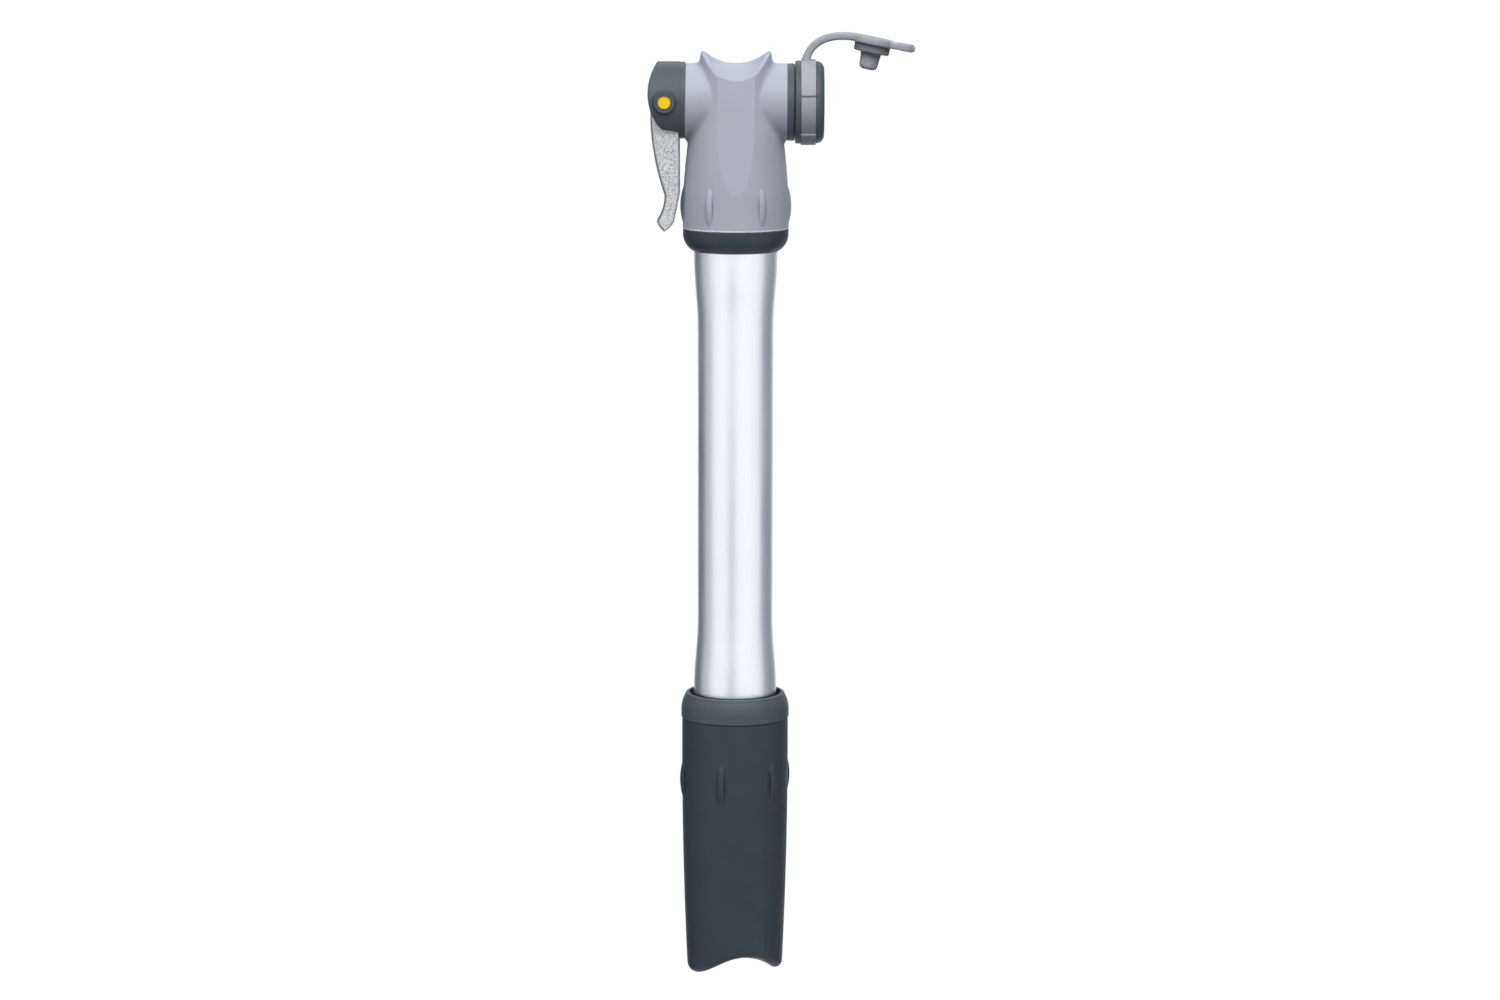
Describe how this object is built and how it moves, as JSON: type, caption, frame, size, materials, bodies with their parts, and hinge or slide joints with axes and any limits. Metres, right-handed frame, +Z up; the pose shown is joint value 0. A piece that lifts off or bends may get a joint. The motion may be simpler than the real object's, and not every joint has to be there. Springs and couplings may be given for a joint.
{
  "type": "bicycle mini pump",
  "caption": "Slim hand pump for a bicycle: waisted metal barrel, telescoping handle, moulded saddle-topped head with a thumb-lever valve chuck and a tethered dust cap",
  "frame": {"origin": "on the barrel's axis, in the middle of the barrel's waist, where a frame bracket's clip grips the pump", "axes": "+Z up the barrel to the head, +X along the chuck out of the valve mouth, the lever at -X, +Y to the back"},
  "size_m": [0.061, 0.0256, 0.2198],
  "materials": {
    "head_plastic": "fine satin, moulded",
    "slate_plastic": "matt, moulded",
    "barrel_aluminium": "drawn and satin-anodised along its length",
    "seal_rubber": "greased",
    "bush_plastic": "natural acetal",
    "bumper_rubber": "matt",
    "valve_plastic": "natural acetal",
    "ball_steel": "polished",
    "spring_steel": "drawn wire",
    "plunger_plastic": "greased",
    "gasket_rubber": "matt, moulded",
    "tether_rubber": "matt, moulded",
    "pin_steel": "ground",
    "yellow_plastic": "smooth",
    "lever_alloy": "cast, grainy and tumbled",
    "rod_steel": "plated and polished, to slide in the bush"
  },
  "bodies": {
    "pump_body": {"head_housing": "head_plastic", "head_collar": "slate_plastic", "barrel_tube": "barrel_aluminium", "barrel_seal": "seal_rubber", "rod_bush": "bush_plastic", "top_out_washer": "bumper_rubber", "valve_seat": "valve_plastic", "valve_spring": "spring_steel", "chuck_nose": "slate_plastic", "valve_gasket": "gasket_rubber", "lever_housing": "slate_plastic", "lever_pin": "pin_steel", "pin_caps": "yellow_plastic"},
    "piston_and_rod": {"piston_rod": "rod_steel", "piston_head": "bush_plastic", "rod_foot": "rod_steel"},
    "floating_seal": {"piston_seal": "seal_rubber"},
    "handle": {"handle_shell": "slate_plastic", "handle_rim": "slate_plastic", "handle_bumper": "bumper_rubber", "swivel_retainer": "bush_plastic"},
    "lever": {"thumb_lever": "lever_alloy"},
    "plunger": {"chuck_plunger": "plunger_plastic", "plunger_seals": "seal_rubber"},
    "tether": {"tether_ring": "tether_rubber", "tether_strap": "tether_rubber"},
    "nut": {"valve_nut": "slate_plastic"},
    "cap": {"dust_cap": "tether_rubber"},
    "check_ball": {"valve_ball": "ball_steel"}
  },
  "joints": [
    {"name": "handle_slide", "type": "slide", "parent": "pump_body", "child": "piston_and_rod", "axis": [0, 0, -1], "range_m": [0, 0.1444]},
    {"name": "handle_spin", "type": "hinge", "parent": "piston_and_rod", "child": "handle", "pos_m": [0, 0, -0.1108], "axis": [0, 0, 1], "continuous": true},
    {"name": "seal_float", "type": "slide", "parent": "piston_and_rod", "child": "floating_seal", "axis": [0, 0, -1], "range_m": [0, 0.0005]},
    {"name": "lever_turn", "type": "hinge", "parent": "pump_body", "child": "lever", "pos_m": [-0.01625, 0, 0.0867], "axis": [0, 1, 0], "range_deg": [0, 90]},
    {"name": "plunger_push", "type": "slide", "parent": "pump_body", "child": "plunger", "axis": [1, 0, 0], "range_m": [0, 0.0018], "deforming": ["valve_gasket"]},
    {"name": "ring_travel", "type": "slide", "parent": "pump_body", "child": "tether", "axis": [1, 0, 0], "range_m": [0, 0.003]},
    {"name": "nut_turn", "type": "hinge", "parent": "tether", "child": "nut", "pos_m": [0.01355, 0, 0.0863], "axis": [1, 0, 0], "range_deg": [0, 1080]},
    {"name": "cap_swing", "type": "hinge", "parent": "tether", "child": "cap", "pos_m": [0.01765, 0, 0.09961], "axis": [0, 1, 0], "range_deg": [0, 78.5], "stiffness_Nm_per_rad": 0.005, "springref_deg": -1.15, "deforming": ["tether_strap"]},
    {"name": "ball_lift", "type": "slide", "parent": "pump_body", "child": "check_ball", "axis": [0, 0, 1], "range_m": [0, 0.001], "stiffness_N_per_m": 20, "springref_m": -0.001, "deforming": ["valve_spring"]}
  ],
  "couplings": [
    {"joint": "lever_turn", "follows": "plunger_push", "rad_per_m": 872.66},
    {"joint": "nut_turn", "follows": "ring_travel", "rad_per_m": 6283.2}
  ]
}
